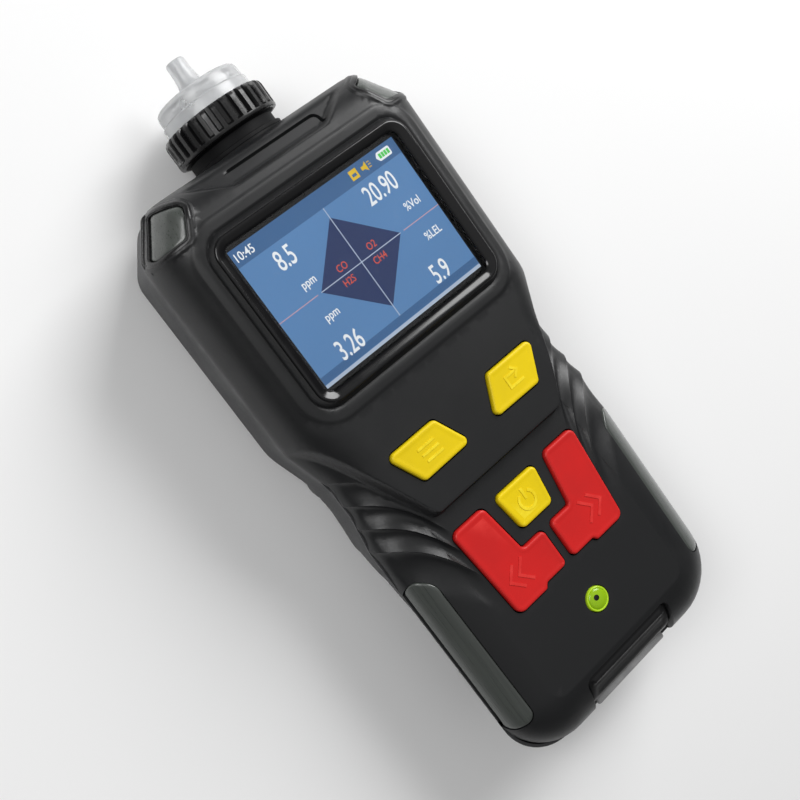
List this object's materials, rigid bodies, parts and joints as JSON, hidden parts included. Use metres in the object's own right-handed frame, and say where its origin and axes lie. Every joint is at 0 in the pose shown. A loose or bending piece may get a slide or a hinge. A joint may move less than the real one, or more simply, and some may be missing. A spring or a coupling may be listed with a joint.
{
  "type": "portable gas detector",
  "caption": "Hand-held gas detector with a colour screen, coloured rubber keys, status lamp, smoked alarm windows and a screw-on clear inlet filter.",
  "frame": {"origin": "middle of the bounding box, on the surface that the back rests on", "axes": "+X is the detector's right-hand side, +Y runs from the handle end to the gas inlet, +Z comes out of the screen; the detector lies on its back"},
  "size_m": [0.077, 0.1888, 0.0388],
  "materials": {
    "case_black": "soft-touch satin black moulding, fine spark-eroded grain",
    "case_rear": "matt black moulding",
    "seal_rubber": "matt",
    "screw_steel": "plain",
    "brass": "turned",
    "screen_glass": "clear, polished",
    "lcd_picture": "lit picture, faint pixel grid",
    "lcd_metal": "pressed sheet",
    "white_plastic": "matt",
    "lime_lens": "translucent, polished",
    "clear_plastic": "clear moulding",
    "board_green": "solder resist",
    "black_plastic": "matt",
    "sensor_white": "satin",
    "motor_steel": "drawn",
    "hose_silicone": "translucent matt",
    "battery_wrap": "shrink wrap",
    "port_rubber": "matt",
    "neck_black": "matt",
    "filter_white": "felt-like membrane",
    "ring_black": "satin, knurled",
    "smoked_window": "smoked translucent, lengthwise streaks",
    "key_yellow": "satin silicone",
    "key_red": "satin silicone"
  },
  "bodies": {
    "case": {"front_cover": "case_black", "rear_cover": "case_rear", "case_gasket": "seal_rubber", "case_screws": "screw_steel", "thread_inserts": "brass", "screen_glass": "screen_glass", "lcd_panel": "lcd_picture", "lcd_frame": "lcd_metal", "lcd_backlight": "white_plastic", "status_lens": "lime_lens", "status_led": "clear_plastic", "alarm_leds": "clear_plastic", "led_strips": "board_green", "keypad_membrane": "seal_rubber", "key_switches": "black_plastic", "main_board": "board_green", "sensor_board": "board_green", "gas_manifold": "black_plastic", "sensor_seals": "seal_rubber", "gas_sensor_1": "sensor_white", "gas_sensor_2": "sensor_white", "gas_sensor_3": "sensor_white", "gas_sensor_4": "sensor_white", "pump_head": "black_plastic", "pump_motor": "motor_steel", "suction_hose": "hose_silicone", "inlet_elbow": "black_plastic", "delivery_hose": "hose_silicone", "battery_pack": "battery_wrap", "battery_pads": "seal_rubber", "sounder": "black_plastic", "vibration_motor": "motor_steel", "motor_clip": "seal_rubber", "charge_socket": "motor_steel", "inlet_neck": "neck_black", "neck_seal": "seal_rubber", "filter_support": "black_plastic", "side_window_right": "smoked_window", "side_window_left": "smoked_window", "corner_window_right": "smoked_window", "corner_window_left": "smoked_window"},
    "cap": {"filter_cap": "clear_plastic", "filter_disc": "filter_white"},
    "ring": {"ring_nut": "ring_black"},
    "port_flap": {"port_cover": "port_rubber"},
    "pump_cam": {"pump_eccentric": "brass"},
    "buzz_weight": {"vibration_weight": "motor_steel"},
    "left_soft_key": {"key_left_soft": "key_yellow"},
    "right_soft_key": {"key_right_soft": "key_yellow"},
    "power_key": {"key_power": "key_yellow"},
    "left_arrow_key": {"key_left_arrow": "key_red"},
    "right_arrow_key": {"key_right_arrow": "key_red"}
  },
  "joints": [
    {"name": "cap_lift", "type": "slide", "parent": "case", "child": "cap", "axis": [0, 1, 0], "range_m": [0, 0.00225]},
    {"name": "ring_turn", "type": "hinge", "parent": "cap", "child": "ring", "pos_m": [0, 0.0762, 0.015], "axis": [0, 1, 0], "range_deg": [0, 541]},
    {"name": "port_flap_open", "type": "hinge", "parent": "case", "child": "port_flap", "pos_m": [0, -0.0828, 0.0329], "axis": [-1, 0, 0], "range_deg": [0, 100]},
    {"name": "pump_cam_spin", "type": "hinge", "parent": "case", "child": "pump_cam", "pos_m": [-0.012, 0.001, 0.0092], "axis": [1, 0, 0], "continuous": true},
    {"name": "buzz_weight_spin", "type": "hinge", "parent": "case", "child": "buzz_weight", "pos_m": [0.0207, -0.0084, 0.0075], "axis": [1, 0, 0], "continuous": true},
    {"name": "left_soft_key_press", "type": "slide", "parent": "case", "child": "left_soft_key", "axis": [0, 0, -1], "range_m": [0, 0.0008], "stiffness_N_per_m": 600, "springref_m": -0.0003},
    {"name": "right_soft_key_press", "type": "slide", "parent": "case", "child": "right_soft_key", "axis": [0, 0, -1], "range_m": [0, 0.0008], "stiffness_N_per_m": 600, "springref_m": -0.0003},
    {"name": "power_key_press", "type": "slide", "parent": "case", "child": "power_key", "axis": [0, 0, -1], "range_m": [0, 0.0008], "stiffness_N_per_m": 600, "springref_m": -0.0003},
    {"name": "left_arrow_key_press", "type": "slide", "parent": "case", "child": "left_arrow_key", "axis": [0, 0, -1], "range_m": [0, 0.0008], "stiffness_N_per_m": 600, "springref_m": -0.0003},
    {"name": "right_arrow_key_press", "type": "slide", "parent": "case", "child": "right_arrow_key", "axis": [0, 0, -1], "range_m": [0, 0.0008], "stiffness_N_per_m": 600, "springref_m": -0.0003}
  ],
  "couplings": [
    {"joint": "ring_turn", "follows": "cap_lift", "rad_per_m": 4188.8}
  ]
}
